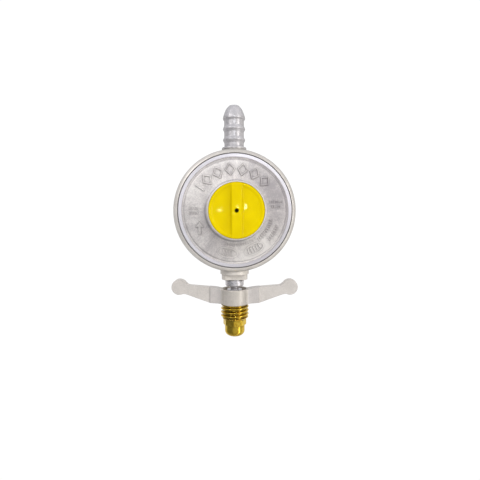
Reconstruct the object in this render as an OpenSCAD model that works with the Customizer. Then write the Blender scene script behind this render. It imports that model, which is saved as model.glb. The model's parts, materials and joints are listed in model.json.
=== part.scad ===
// Low-pressure gas regulator with a spring-loaded diaphragm: a round die-cast body with a ribbed hose
// outlet, a rolled-in cover with a spring tower and a push-in cap, and an inlet coupling with a wing nut.
// Millimetres. +Z is up towards the hose outlet, the front of the regulator faces -Y, and the origin is
// the centre of the flat back face. Names ending in _r are radii.

/* [Flow axis] */
// Distance from the flat back to the common axis of the inlet and the outlet
flow_depth = 10.5; // [9:0.5:13]

/* [Body and rolled rim] */
// Radius over the rolled rim
rim_r = 33.55; // [30:0.05:38]
// Height of the widest part of the rim above the back
rim_mid = 17.8; // [16:0.1:20]
// Half height of the rolled rim
rim_half = 3.4; // [2.5:0.1:4]
// Radius inside the rolled lip
lip_r = 31.1; // [28:0.1:36]
// Radius of the pocket that holds the cover and the diaphragm
pocket_r = 31.9; // [29:0.1:37]
// Radius of the pan behind the rim
pan_r = 29.9; // [26:0.1:32]
// Thickness of the pan floor
floor_t = 2.6; // [2:0.1:4]
// Radius of the gas chamber
chamber_r = 27.0; // [24:0.1:28]

/* [Hose outlet] */
// Radius over the hose ridges
ridge_r = 6.2; // [4:0.05:8]
// Radius of the necks between the ridges
ridge_neck_r = 5.5; // [3.5:0.05:7]
// Radius of the gas passage through the outlet
outlet_bore_r = 2.5; // [1.5:0.1:4]
// Height of the outlet's end above the body's centre
outlet_top = 58.4; // [50:0.1:70]

/* [Inlet boss and nipple] */
// Radius of the upper collar of the boss
boss_r = 8.12; // [6:0.1:9]
// Radius of the lower collar of the boss
boss_low_r = 7.35; // [5:0.05:9]
// Distance from the flow axis to the wrench flats of the lower collar
boss_flat = 4.9; // [4:0.1:7]
// Radius of the steel neck
neck_r = 5.3; // [4:0.05:6]
// Radius of the stem that the wing nut turns on
stem_r = 2.3; // [1.8:0.05:3]
// Radius of the gas passage through the nipple
inlet_bore_r = 1.1; // [0.8:0.1:1.6]

/* [Cover and spring tower] */
// Radius of the tower at its mouth
tower_r = 14.95; // [13:0.1:18]
// Height of the tower mouth above the back
tower_top = 35.0; // [33:0.1:38]
// Height of the face's outer edge above the back
face_edge = 21.6; // [21:0.1:22.5]
// Distance of the two raised oval frames from the centre
oval_r = 22.9; // [21:0.1:23.4]
// Half length of an oval frame
oval_long = 5.8; // [4:0.1:7]
// Half width of an oval frame
oval_wide = 2.9; // [1.5:0.1:3]
// Radius of the bore that guides the adjusting screw
tower_bore_r = 12.6; // [10:0.1:13]

/* [Cap] */
// Radius of the cap
cap_r = 14.35; // [12:0.05:16]
// Width of the cap's grip rib
rib_w = 4.85; // [3:0.05:7]
// Depth of the two dished finger recesses at their deepest
dish_depth = 1.25; // [0.6:0.05:1.6]
// Radius of the breather hole
vent_r = 1.05; // [0.5:0.05:1.5]

/* [Wing nut and thread] */
// Half span of the wings
wing_half = 35.9; // [28:0.05:40]
// Angle that the wing nut happens to stand at, seen from above
wing_turn = -4; // [-180:1:180]
// Radius of the round wing tips
tip_r = 4.35; // [3:0.05:6]
// Half thickness of the wings
wing_t = 2.35; // [2:0.05:4]
// Radius of the hub
hub_r = 7.75; // [6.5:0.05:10]
// Major radius of the inlet thread
thread_r = 7.94; // [6:0.01:10]
// Pitch of the inlet thread
thread_pitch = 2.117; // [1.5:0.001:3]

/* [Main spring] */
// Mean radius of the coil
coil_r = 9.4; // [7:0.1:11]
// Radius of the wire
wire_r = 0.7; // [0.5:0.05:1]
// Number of turns
coil_turns = 3.25; // [2:0.25:5]

/* [Hidden] */
$fn = 96;
overlap = 0.01;

// stack heights above the flat back
ledge = 16.2;               // where the diaphragm's bead rests
clamp_top = 17.6;           // underside of the cover's flange
flange_top = 19.8;          // front of the cover's flange, under the lip
washer_bottom = 14.8;
plate_bottom = 16.4;
plate_top = 17.2;
cap_seat = tower_top - 1.7; // where the cap's flange rests
screw_top = cap_seat - 3.0;
seat_top = screw_top - 2.6;
seat_bottom = seat_top - 1.0;
clamped_r = 31.85;          // edge of the cover and the diaphragm
stem_hole_r = 2.45;         // hole for the diaphragm's stem

// lever: heights above the back, and the pivot's place along Z
pivot_h = 5.0;
pivot_z = -17.0;
stem_slot_h = 12.4;
lever_half = 1.6;
pin_r = 1.0;

// valve and inlet stack along Z
plunger_r = 2.6;
pad_r = 2.0;
seat_z = -23.6;
pad_bottom = seat_z + 0.41; // the valve stands slightly open
pad_top = pad_bottom + 1.6;
orifice_r = 3.0;
orifice_shoulder = -25.4;
orifice_back = -30.0;
nipple_r = 4.6;
nipple_top = -30.8;
boss_step = -35.5;
boss_end = -38.7;
stem_end = -67.4;

// coupling along Z
hub_top = -44.2;
hub_end = -53.15;
dish_z = -45.1;
sleeve_top = -48.0;
sleeve_end = -61.4;
sleeve_bore_r = 2.38;
sleeve_neck_r = 6.0;
filter_r = 2.0;

// points along an elliptical arc, both ends included
function arc(x, y, radius_x, radius_y, start, end, steps) =
    [for (i = [0:steps]) let (angle = start + (end - start) * i / steps)
        [x + radius_x * cos(angle), y + radius_y * sin(angle)]];

// turns a shape whose axis is Z so that it points out of the front
module front() rotate([90, 0, 0]) children();
// moves a shape from the Z axis to the flow axis
module flow() translate([0, -flow_depth, 0]) children();
// Turned parts: front profiles list [radius, height above the back], flow profiles [radius, z]
module front_turned(profile) front() rotate_extrude() polygon(profile);
module flow_turned(profile) flow() rotate_extrude() polygon(profile);
module rod(radius, low, high) translate([0, 0, low]) cylinder(r = radius, h = high - low);
module washer(radius, hole_r, low, thickness) translate([0, 0, low]) difference() {
    cylinder(r = radius, h = thickness);
    translate([0, 0, -1]) cylinder(r = hole_r, h = 3);
}
// a block given by its [from, to] spans in x, height above the back, and z
module block(x, height, z)
    translate([x[0], -height[1], z[0]]) cube([x[1] - x[0], height[1] - height[0], z[1] - z[0]]);
// a round bar along X at a height above the back, reaching equally far to both sides
module cross_bar(radius, reach, height, z)
    translate([-reach, -height, z]) rotate([0, 90, 0]) cylinder(r = radius, h = 2 * reach);

// ---- Body ----
pan_edge_r = 24.9;      // where the back starts to round off
chamber_edge_r = 23.8;  // where the chamber floor starts to round up
lip_top = rim_mid + rim_half - 0.3;
pan_outer = concat(
    [[0, 0], [pan_edge_r, 0]],
    arc(pan_edge_r, 5, pan_r - pan_edge_r, 5, -70, 0, 7),
    [[pan_r + 0.35, 12.6], [pan_r + 0.6, 13.6]],
    arc(rim_r - 2.95, rim_mid, 2.95, rim_half, -76, 76, 22),
    [[lip_r + 0.12, rim_mid + rim_half - 0.06], [lip_r, lip_top], [0, lip_top]]);

pan_inner = concat(
    [[0, floor_t], [chamber_edge_r, floor_t]],
    arc(chamber_edge_r, floor_t + 3.2, chamber_r - chamber_edge_r, 3.2, -72, 0, 4),
    [[chamber_r, 15.2], [28.2, ledge], [pocket_r, ledge], [pocket_r, flange_top],
     [lip_r, flange_top], [lip_r, 30], [0, 30]]);

hose_outlet_profile = [
    [0, 20], [6.5, 20], [6.5, 34.2], [6.85, 34.3], [6.85, 35.1], [6.6, 35.35], [5.75, 35.45],
    [5.45, 35.9], [5.45, 37.6], [5.7, 38.4], [ridge_r, 39.2], [ridge_r, 39.8], [5.8, 40.5],
    [ridge_neck_r, 41.2], [ridge_neck_r, 43.8], [5.75, 44.5], [ridge_r, 45.25], [ridge_r, 45.85],
    [5.85, 46.6], [5.55, 47.3], [5.55, 49.9], [5.7, 50.4], [6.1, 50.85], [ridge_r, 51.1],
    [ridge_r, 51.8], [6.02, 52.6], [5.75, 53.4], [5.43, 54.3], [5.1, 55.15], [4.68, 56.05],
    [4.15, 56.9], [3.55, 57.6], [3.0, 58.1], [2.7, outlet_top], [0, outlet_top]];

// round upper collar, and a lower one with two wrench flats
module inlet_boss() {
    flow() rod(boss_r, boss_step, -26);
    flow() intersection() {
        rod(boss_low_r, boss_end, boss_end + 6);
        translate([-10, -boss_flat, boss_end]) cube([20, 2 * boss_flat, 6]);
    }
}

module guide_and_lugs() {
    root = floor_t - 0.6; // sunk into the floor
    // guide tube of the valve plunger with the web that ties it to the floor
    intersection() {
        flow() rod(4.3, -28, -20);
        block([-6, 6], [0, 14.2], [-30, -18]);
    }
    block([-3, 3], [root, 7], [-28, -20]);
    // lugs that carry the lever's pin
    for (x = [-5, 2.3]) block([x, x + 2.7], [root, 6.8], [-20.4, -14.6]);
}

module body() color([0.70, 0.69, 0.68]) difference() {
    union() {
        difference() {
            union() {
                front_turned(pan_outer);
                flow_turned(hose_outlet_profile);
                inlet_boss();
            }
            front_turned(pan_inner);
        }
        guide_and_lugs();
    }
    // gas passage of the outlet
    flow() rod(outlet_bore_r, 15, 65);
    // hole for the nipple, then the seat of the orifice, then the plunger's guide
    flow() rod(nipple_r, boss_end - 1, orifice_back);
    flow() rod(orifice_r, orifice_back - overlap, orifice_shoulder);
    flow() rod(plunger_r + 0.06, orifice_shoulder - overlap, orifice_shoulder - overlap + 8);
    // window in the front of the guide tube that lets the gas out beside the seat
    translate([0, -8, -22.6]) rotate([90, 0, 0]) cylinder(r = 1.2, h = 10);
    cross_bar(pin_r, 5.6, pivot_h, pivot_z);
}

// ---- Cover ----
mouth_round = 0.38;
cover_profile = concat(
    [[clamped_r, clamp_top], [28.2, clamp_top], [27.6, 18.6], [26.4, 19.9], [tower_bore_r, 19.9],
     [tower_bore_r, cap_seat], [cap_r + 0.1, cap_seat], [cap_r + 0.1, tower_top - 0.12],
     [cap_r + 0.18, tower_top]],
    arc(tower_r - mouth_round, tower_top - mouth_round, mouth_round, mouth_round, 80, 0, 5),
    [[tower_r + 0.8, 23.3], [tower_r + 0.95, 22.7], [tower_r + 1.3, 22.2], [tower_r + 1.95, 21.9],
     [25.9, face_edge + 0.05], [27.0, face_edge - 0.05], [27.35, 21.35], [27.6, 21.05],
     [27.85, 21.0], [28.5, 21.1], [28.75, 21.3], [28.95, 21.6], [30.4, 21.6], [30.65, 21.4],
     [30.7, 21.1], [30.7, flange_top], [clamped_r, flange_top]]);

module oval(half_length, half_width)
    polygon([for (i = [0:39]) [half_length * cos(9 * i), half_width * sin(9 * i)]]);

// raised oval frame low on the cover's face, turned so that it follows the rim
module oval_frame(turn) {
    base = 20.2;
    frame_w = 0.6;
    rotate([0, 0, turn]) translate([0, -oval_r, base])
        linear_extrude(height = face_edge + 0.5 - base) difference() {
            oval(oval_long, oval_wide);
            oval(oval_long - frame_w, oval_wide - frame_w);
        }
}

module cover() color([0.74, 0.73, 0.72]) front() union() {
    rotate_extrude() polygon(cover_profile);
    oval_frame(-11);
    oval_frame(26);
}

// ---- Cap ----
cap_round = 0.35;
cap_dish_r = 90; // spherical radius of the finger recesses
cap_profile = concat(
    [[0, cap_seat - 0.6], [11.4, cap_seat - 0.6], [11.4, cap_seat - 1.6], [12.2, cap_seat - 1.6],
     [12.45, cap_seat - 1.3], [12.45, cap_seat], [cap_r, cap_seat]],
    arc(cap_r - cap_round, tower_top - cap_round, cap_round, cap_round, 0, 90, 5),
    [[0, tower_top]]);

module cap() color([0.95, 0.83, 0.02]) front() difference() {
    rotate_extrude() polygon(cap_profile);
    // two dished finger recesses that leave the border and the central rib
    difference() {
        intersection() {
            cylinder(r = cap_r - 1.15, h = 40);
            translate([0, 0, tower_top - dish_depth + cap_dish_r]) sphere(r = cap_dish_r, $fn = 192);
        }
        translate([-rib_w / 2, -20, 20]) cube([rib_w, 40, 20]);
    }
    rod(vent_r, 25, 45);
}

// ---- Adjusting screw and spring ----
screw_r = 12.52;
screw_groove_r = 11.9;
screw_profile = [
    [0, seat_top], [12.1, seat_top], [screw_r, seat_top + 0.4], [screw_r, seat_top + 0.6],
    [screw_groove_r, seat_top + 1.0], [screw_groove_r, seat_top + 1.3],
    [screw_r, seat_top + 1.7], [screw_r, seat_top + 1.9], [12.1, screw_top], [0, screw_top]];

module adjusting_screw() color([0.78, 0.65, 0.30]) front() difference() {
    rotate_extrude() polygon(screw_profile);
    // hexagon for the key, open through the middle so that the chamber can breathe
    rod(5.2, 20, 40, $fn = 6);
}

spring_seat_profile = [
    [3.4, seat_top], [11.3, seat_top], [11.3, seat_bottom], [8.3, seat_bottom],
    [8.0, seat_bottom - 1.2], [7.2, seat_bottom - 1.2], [7.0, seat_bottom - 0.2],
    [3.4, seat_bottom - 0.2]];

module spring_seat() color([0.62, 0.63, 0.65]) front_turned(spring_seat_profile);

// the coil's cut across its axis is a sickle whose width follows the round wire
spring_h = seat_bottom - plate_top;
spring_pitch = spring_h / coil_turns;
sickle_angle = 360 * wire_r / spring_pitch; // half the angle that the sickle spans
function sickle_width(angle) = let (part = angle / sickle_angle) wire_r * sqrt(max(0, 1 - part * part));
// one edge of the sickle: side is 1 for the outer edge and -1 for the inner
function sickle_edge(side, steps) =
    [for (i = steps) let (angle = sickle_angle * sin(15 * i), radius = coil_r + side * sickle_width(angle))
        [radius * cos(angle), radius * sin(angle)]];

module main_spring() color([0.60, 0.61, 0.63]) front() translate([0, 0, plate_top])
    linear_extrude(height = spring_h, twist = -360 * coil_turns, slices = 70, segments = 24, $fn = 24)
        polygon(concat(sickle_edge(1, [-6:6]), sickle_edge(-1, [5:-1:-5])));

// ---- Diaphragm and its stem ----
module stem_nut() color([0.80, 0.66, 0.28]) front() difference() {
    rod(4.4, plate_top, plate_top + 2.0, $fn = 6);
    rod(2.4, 10, 30);
}

plate_profile = [
    [stem_hole_r, plate_bottom], [18.9, plate_bottom], [19.5, plate_bottom + 0.6], [19.5, 18.2],
    [18.8, 18.2], [18.8, plate_top + 0.1], [18.7, plate_top], [stem_hole_r, plate_top]];

module diaphragm_plate() color([0.72, 0.73, 0.75]) front_turned(plate_profile);

roll_r = 23.85; // middle of the diaphragm's rolled fold
diaphragm_profile = concat(
    [[stem_hole_r, 15.6], [20.8, 15.6]],
    arc(roll_r, 16.0, 2.8, 2.2, 176, 4, 12),
    [[27.1, ledge], [clamped_r, ledge], [clamped_r, clamp_top], [28.3, clamp_top], [27.6, 16.9]],
    arc(roll_r, 16.1, 3.6, 2.9, 8, 172, 14),
    [[20.1, plate_bottom], [stem_hole_r, plate_bottom]]);

module diaphragm() color([0.12, 0.12, 0.13]) front_turned(diaphragm_profile);

module backing_washer() color([0.66, 0.67, 0.69]) front() washer(9, stem_hole_r, washer_bottom, 0.8);

diaphragm_stem_profile = [
    [0, 9.8], [2.9, 9.8], [3.2, 10.1], [3.2, washer_bottom], [2.4, washer_bottom], [2.4, 19.4],
    [2.1, 19.7], [0, 19.7]];

module diaphragm_stem() color([0.76, 0.76, 0.77]) difference() {
    front_turned(diaphragm_stem_profile);
    // slot for the lever's round end
    block([-4, 4], [stem_slot_h - 1.06, stem_slot_h + 1.06], [-5, 1.7]);
}

// ---- Lever ----
// side outline of the long arm: y (minus the height above the back), z
long_arm_outline = [
    [-(pivot_h - 0.8), pivot_z], [-(pivot_h - 0.8), pivot_z + 3.9], [-(stem_slot_h - 0.7), -5.3],
    [-(stem_slot_h - 0.7), 0], [-(stem_slot_h + 0.7), 0], [-(stem_slot_h + 0.7), -5.9],
    [-(pivot_h + 0.8), pivot_z + 3.3], [-(pivot_h + 0.8), pivot_z]];

module lever() color([0.68, 0.69, 0.71]) difference() {
    union() {
        // hub
        cross_bar(2.0, 2.1, pivot_h, pivot_z);
        // long arm from the hub to the diaphragm's stem, with its round end
        rotate([90, 0, 90]) translate([0, 0, -lever_half])
            linear_extrude(height = 2 * lever_half) polygon(long_arm_outline);
        cross_bar(1.0, lever_half, stem_slot_h, 0);
        // short arm into the plunger, with its round end
        block([-lever_half, lever_half], [pivot_h, flow_depth], [pivot_z - 0.62, pivot_z + 0.62]);
        cross_bar(0.9, lever_half, flow_depth, pivot_z);
    }
    cross_bar(pin_r + 0.04, 3, pivot_h, pivot_z);
}

module lever_pin() color([0.60, 0.61, 0.63]) cross_bar(pin_r, 5.2, pivot_h, pivot_z);

// ---- Valve ----
module valve_plunger() color([0.79, 0.64, 0.26]) difference() {
    flow() rod(plunger_r, pad_bottom + 0.3, -14.5);
    // pocket of the pad
    flow() rod(pad_r, pad_bottom - 1, pad_top);
    // slot for the lever's short arm
    block([-4, 4], [6, 11.9], [pivot_z - 0.95, pivot_z + 0.95]);
}

module valve_pad() color([0.10, 0.10, 0.11]) flow() rod(pad_r, pad_bottom, pad_top);

orifice_profile = [
    [0.9, orifice_back], [orifice_r, orifice_back], [orifice_r, orifice_shoulder],
    [2.3, orifice_shoulder], [2.0, -25.0], [1.4, seat_z], [0.9, seat_z]];

module orifice() color([0.80, 0.66, 0.26]) flow_turned(orifice_profile);

// ---- Nipple ----
module nipple_gasket() color([0.14, 0.13, 0.13]) flow_turned([
    [1.6, nipple_top], [nipple_r, nipple_top], [nipple_r, orifice_back], [1.6, orifice_back]]);

nipple_profile = [
    [inlet_bore_r, nipple_top], [4.3, nipple_top], [nipple_r, nipple_top - 0.3],
    [nipple_r, boss_end], [4.45, boss_end], [4.45, boss_end - 0.55],
    [neck_r - 0.15, boss_end - 0.6], [neck_r, boss_end - 0.8], [neck_r, -42.0],
    [neck_r - 0.3, -42.4], [neck_r - 0.8, -42.65], [stem_r, -42.8], [stem_r, stem_end],
    [inlet_bore_r, stem_end]];

module inlet_nipple() color([0.66, 0.68, 0.71]) flow_turned(nipple_profile);

module slip_washer() color([0.64, 0.66, 0.70]) flow() washer(4.3, 2.45, dish_z, 0.5);

// ---- Wing nut ----
tip_x = wing_half - tip_r;
tip_z = -43.15;
wing_depth = 6; // half depth of the wing blank, cut down to wing_plan

hub_profile = [
    [0, hub_top - 2], [6.9, hub_top - 2], [7.1, hub_top], [hub_r - 0.25, hub_top],
    [hub_r, hub_top - 0.25], [hub_r, hub_end + 0.4], [hub_r - 0.4, hub_end], [0, hub_end]];

hub_dish_profile = [
    [0, dish_z], [4.7, dish_z], [7.15, hub_top - 0.2], [7.3, hub_top + 1], [0, hub_top + 1]];

// one wing seen from the front: x, z
wing_outline = [
    [6.5, hub_top - 0.3], [hub_r, hub_top + 0.02], [9.2, -43.8], [10.6, -43.52], [12.0, -43.33],
    [25.3, -42.21], [26.2, -42.05], [26.9, -41.65], [27.5, -41.05], [tip_x, tip_z],
    [tip_x - 0.6, -47.45], [29.4, -47.0], [28.4, -47.05], [27.4, -47.24], [15.0, -51.75],
    [14.2, -52.0], [13.4, -52.1], [6.5, -52.5]];

// x, half thickness: fillet off the hub, thick shoulder, step, thinner arm
wing_plan = [
    [0, 4.4], [6.5, 4.4], [7.3, 3.8], [8.3, 3.38], [9.5, 3.1], [11.0, 3.0], [13.75, 2.95],
    [14.15, 2.8], [14.35, wing_t + 0.1], [14.7, wing_t], [wing_half + 1, wing_t]];

module wing() intersection() {
    union() {
        rotate([90, 0, 0]) translate([0, 0, -wing_depth])
            linear_extrude(height = 2 * wing_depth) polygon(wing_outline);
        translate([tip_x, wing_depth, tip_z]) rotate([90, 0, 0]) cylinder(r = tip_r, h = 2 * wing_depth);
    }
    translate([0, 0, -60]) linear_extrude(height = 30) polygon(concat(wing_plan,
        [for (i = [len(wing_plan) - 1:-1:0]) [wing_plan[i][0], -wing_plan[i][1]]]));
}

module wing_nut() color([0.71, 0.70, 0.69]) flow() rotate([0, 0, wing_turn]) difference() {
    union() {
        rotate_extrude() polygon(hub_profile);
        for (side = [0, 1]) mirror([side, 0, 0]) wing();
    }
    rotate_extrude() polygon(hub_dish_profile);
    // stem hole, then the socket of the threaded sleeve
    rod(2.6, sleeve_top - 1, sleeve_top + 4);
    rod(sleeve_neck_r, hub_end - 1, sleeve_top);
}

// ---- Threaded sleeve ----
// crest and root of one thread ring, counted down from the hub
function thread_ring(ring) = let (z = -54.35 - ring * thread_pitch, root_r = thread_r - 1.25) [
    [thread_r, z + thread_pitch / 14], [thread_r, z - thread_pitch / 14],
    [root_r, z - thread_pitch * 0.42], [root_r, z - thread_pitch * 0.58]];

sleeve_profile = concat(
    [[sleeve_bore_r, sleeve_top], [5.7, sleeve_top], [sleeve_neck_r, sleeve_top - 0.3],
     [sleeve_neck_r, hub_end], [thread_r - 1.1, hub_end], [thread_r - 1.1, -53.75]],
    [for (ring = [0:2]) each thread_ring(ring)],
    [[thread_r - 0.5, -60.5], [thread_r - 0.62, -60.85], [thread_r - 1.05, sleeve_end],
     [sleeve_bore_r, sleeve_end]]);

module threaded_sleeve() color([0.83, 0.67, 0.16]) flow_turned(sleeve_profile);

// ---- Nose and filter ----
nose_end = -71.6;
nose_round = nose_end + 3.2; // where the end starts to round off
nose_profile = concat(
    [[0, -64], [5.7, -64], [5.7, nose_round]],
    arc(1.9, nose_round, 3.8, 3.2, -8, -90, 9),
    [[0, nose_end]]);

module nose() color([0.84, 0.68, 0.16]) flow() difference() {
    union() {
        // collar with eight flats
        rotate([0, 0, -8]) rod(6.65, -65.0, -61.45, $fn = 8);
        rotate_extrude() polygon(nose_profile);
    }
    // socket of the stem, pocket of the filter, gas inlet
    rod(stem_r, stem_end, stem_end + 10);
    rod(filter_r, stem_end - 1.0, stem_end + 0.1);
    rod(1.5, -75, -65);
}

module inlet_filter() color([0.55, 0.46, 0.22]) flow() rod(filter_r, stem_end - 0.9, stem_end - 0.1);

body();
cover();
cap();
adjusting_screw();
spring_seat();
main_spring();
stem_nut();
diaphragm_plate();
diaphragm();
backing_washer();
diaphragm_stem();
lever();
lever_pin();
valve_plunger();
valve_pad();
orifice();
nipple_gasket();
inlet_nipple();
slip_washer();
wing_nut();
threaded_sleeve();
nose();
inlet_filter();
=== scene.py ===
"""Gas regulator: die-cast zinc body, round cover with a yellow cap, wing nut, brass sleeve and nose.

Sizes are millimetres and are scaled by MM on the way into Blender; the stage, lights and camera
are in metres. X runs to the right and Z up, as seen from the front, and the cover faces -Y. The
cover, cap, diaphragm and spring lie about the Y axis, where "height" is the distance towards -Y.
The nut, sleeve and nose hang below, about the vertical flow axis at x = 0, y = AXIS_Y.
"""
import bpy
import bmesh
import json
import math
from mathutils import Matrix, Vector

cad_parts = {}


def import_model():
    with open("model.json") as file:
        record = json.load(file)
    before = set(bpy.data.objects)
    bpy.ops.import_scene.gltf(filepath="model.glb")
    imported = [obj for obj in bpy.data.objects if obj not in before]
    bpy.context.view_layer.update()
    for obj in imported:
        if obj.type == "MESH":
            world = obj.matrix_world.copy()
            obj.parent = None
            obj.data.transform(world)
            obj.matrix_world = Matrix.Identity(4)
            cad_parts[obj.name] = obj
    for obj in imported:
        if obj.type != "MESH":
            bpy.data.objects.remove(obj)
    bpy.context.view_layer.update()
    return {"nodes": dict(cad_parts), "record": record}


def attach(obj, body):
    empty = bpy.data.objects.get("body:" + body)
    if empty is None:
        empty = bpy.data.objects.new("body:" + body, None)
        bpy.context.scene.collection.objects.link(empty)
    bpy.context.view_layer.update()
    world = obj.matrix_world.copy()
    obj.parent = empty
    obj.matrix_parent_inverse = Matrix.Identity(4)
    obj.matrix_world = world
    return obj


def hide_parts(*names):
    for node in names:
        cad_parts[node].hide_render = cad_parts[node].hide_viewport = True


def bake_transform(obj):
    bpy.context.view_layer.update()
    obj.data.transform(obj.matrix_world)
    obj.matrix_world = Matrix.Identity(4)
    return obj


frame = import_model()
NODES = frame["nodes"]
SLOT = {part["node"]: part["material_slot"] for part in frame["record"]["subparts"]}
MM = 0.001
AXIS_Y = -10.5  # flow axis

# The cover's face falls in a straight line between these two places: (radius, height).
FACE_INNER = (16.9, 21.9)
FACE_OUTER = (25.9, 21.65)


# ---------------------------------------------------------------- node helpers
def rgba(colour):
    return (*colour, 1.0) if len(colour) == 3 else tuple(colour)


def srgb(*levels):
    """Linear colour from 0-255 sRGB levels."""
    def linear(level):
        v = level / 255.0
        return v / 12.92 if v <= 0.04045 else ((v + 0.055) / 1.055) ** 2.4
    return tuple(linear(level) for level in levels)


def scaled(colour, factor):
    return tuple(min(1.0, c * factor) for c in colour)


class Graph:
    """Shorthand for a node tree. A value may be a number, a colour or an output socket."""

    def __init__(self, tree):
        self.tree = tree

    def feed(self, socket, value):
        if isinstance(value, bpy.types.NodeSocket):
            self.tree.links.new(value, socket)
        else:
            socket.default_value = rgba(value) if socket.type == "RGBA" else value

    def node(self, kind, inputs=None, **settings):
        """A new node; inputs maps a socket's name or index to its value, None is left alone."""
        made = self.tree.nodes.new("ShaderNode" + kind)
        for key, value in settings.items():
            setattr(made, key, value)
        for key, value in (inputs or {}).items():
            if value is not None:
                self.feed(made.inputs[key], value)
        return made

    def math(self, operation, a, b=None, clamp=False):
        return self.node("Math", {0: a, 1: b}, operation=operation, use_clamp=clamp).outputs[0]

    def add(self, a, b, clamp=False):
        return self.math("ADD", a, b, clamp)

    def sub(self, a, b, clamp=False):
        return self.math("SUBTRACT", a, b, clamp)

    def mul(self, a, b, clamp=False):
        return self.math("MULTIPLY", a, b, clamp)

    def inverse(self, value):
        return self.sub(1.0, value)

    def separate(self, vector):
        return self.node("SeparateXYZ", {0: vector}).outputs

    def rise(self, value, low, high):
        """0 below low, 1 above high, smooth between."""
        inputs = {0: value, 1: low, 2: high}
        return self.node("MapRange", inputs, interpolation_type="SMOOTHSTEP").outputs[0]

    def plateau(self, value, up, down):
        """Rises over the span up, falls over the span down."""
        return self.mul(self.rise(value, *up), self.inverse(self.rise(value, *down)))

    def band(self, value, low, high, soft):
        return self.plateau(value, (low - soft, low + soft), (high - soft, high + soft))

    def ramp(self, value, stops):
        """stops: (position, colour)."""
        made = self.node("ValToRGB")
        elements = made.color_ramp.elements
        while len(elements) > 1:
            elements.remove(elements[-1])
        elements[0].position, elements[0].color = stops[0][0], rgba(stops[0][1])
        for position, colour in stops[1:]:
            elements.new(position).color = rgba(colour)
        self.feed(made.inputs[0], value)
        return made.outputs[0]

    def mix(self, factor, a, b, blend="MIX"):
        return self.node("Mix", {0: factor, 6: a, 7: b}, data_type="RGBA", blend_type=blend,
                         clamp_factor=True).outputs[2]

    def tint(self, colour, mask, strength, towards, blend="MIX", clamp=False):
        """Moves a colour towards another where the mask is high."""
        return self.mix(self.mul(mask, strength, clamp), colour, towards, blend)


class Material(Graph):
    """A Principled material. pos is the position in millimetres of the object's frame."""

    def __init__(self, name):
        self.material = bpy.data.materials.new(name)
        self.material.use_nodes = True
        super().__init__(self.material.node_tree)
        self.tree.nodes.clear()
        output = self.node("OutputMaterial")
        self.shader = self.node("BsdfPrincipled")
        self.feed(output.inputs[0], self.shader.outputs[0])
        place = self.node("TexCoord").outputs["Object"]
        self.pos = self.node("VectorMath", {0: place, "Scale": 1 / MM},
                             operation="SCALE").outputs[0]

    def combine(self, x, y, z):
        return self.node("CombineXYZ", {0: x, 1: y, 2: z}).outputs[0]

    def lerp(self, factor, a, b):
        return self.node("Mix", {0: factor, 2: a, 3: b}, data_type="FLOAT",
                         clamp_factor=True).outputs[0]

    def darken(self, colour, factor):
        """Multiplies all three channels by one factor."""
        return self.mix(1.0, colour, self.combine(factor, factor, factor), "MULTIPLY")

    def noise(self, scale, detail=2.0, rough=0.5, vector=None, distortion=0.0):
        inputs = {"Scale": scale, "Detail": detail, "Roughness": rough, "Distortion": distortion,
                  "Vector": self.pos if vector is None else vector}
        return self.node("TexNoise", inputs).outputs["Fac"]

    def tool_lines(self, z, per_mm):
        """Fine rings left by turning about the flow axis."""
        return self.noise(scale=1.0, rough=0.7, vector=self.combine(0.0, 0.0, self.mul(z, per_mm)))

    def weighted(self, first, *rest):
        """Sum of (value, weight) terms."""
        term = self.mul(*first)
        return self.add(term, self.weighted(*rest)) if rest else term

    def sway(self, value, amount, middle=0.5):
        """Swing of a noise about its middle."""
        return self.mul(self.sub(value, middle), amount)

    def radius(self, a, b):
        return self.math("SQRT", self.add(self.mul(a, a), self.mul(b, b)))

    def toward(self, angle, degrees):
        """1 in one direction about the centre, -1 opposite."""
        return self.math("COSINE", self.sub(angle, math.radians(degrees)))

    def bump(self, height, strength, distance, normal=None):
        inputs = {"Strength": strength, "Distance": distance * MM, "Height": height,
                  "Normal": normal}
        return self.node("Bump", inputs).outputs[0]

    def bevel(self, radius, samples=6):
        return self.node("Bevel", {"Radius": radius * MM}, samples=samples).outputs[0]

    def edge(self, radius):
        """1 on sharp edges, from how far a bevelled normal turns away from the true one."""
        true_normal = self.node("NewGeometry").outputs["Normal"]
        inputs = {0: self.bevel(radius, samples=4), 1: true_normal}
        turned = self.node("VectorMath", inputs, operation="DOT_PRODUCT").outputs["Value"]
        return self.rise(self.inverse(turned), low=0.02, high=0.25)

    def openness(self, distance):
        """Ambient occlusion: 1 in the open, 0 deep in a corner."""
        made = self.node("AmbientOcclusion", {"Distance": distance * MM}, samples=6)
        return made.outputs["AO"]

    def finish(self, colour, metallic, rough, normal, specular=None, specular_tint=None):
        sockets = {"Base Color": colour, "Metallic": metallic, "Roughness": rough,
                   "Normal": normal, "Specular IOR Level": specular,
                   "Specular Tint": specular_tint}
        for key, value in sockets.items():
            if value is not None:
                self.feed(self.shader.inputs[key], value)
        return self.material


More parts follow.
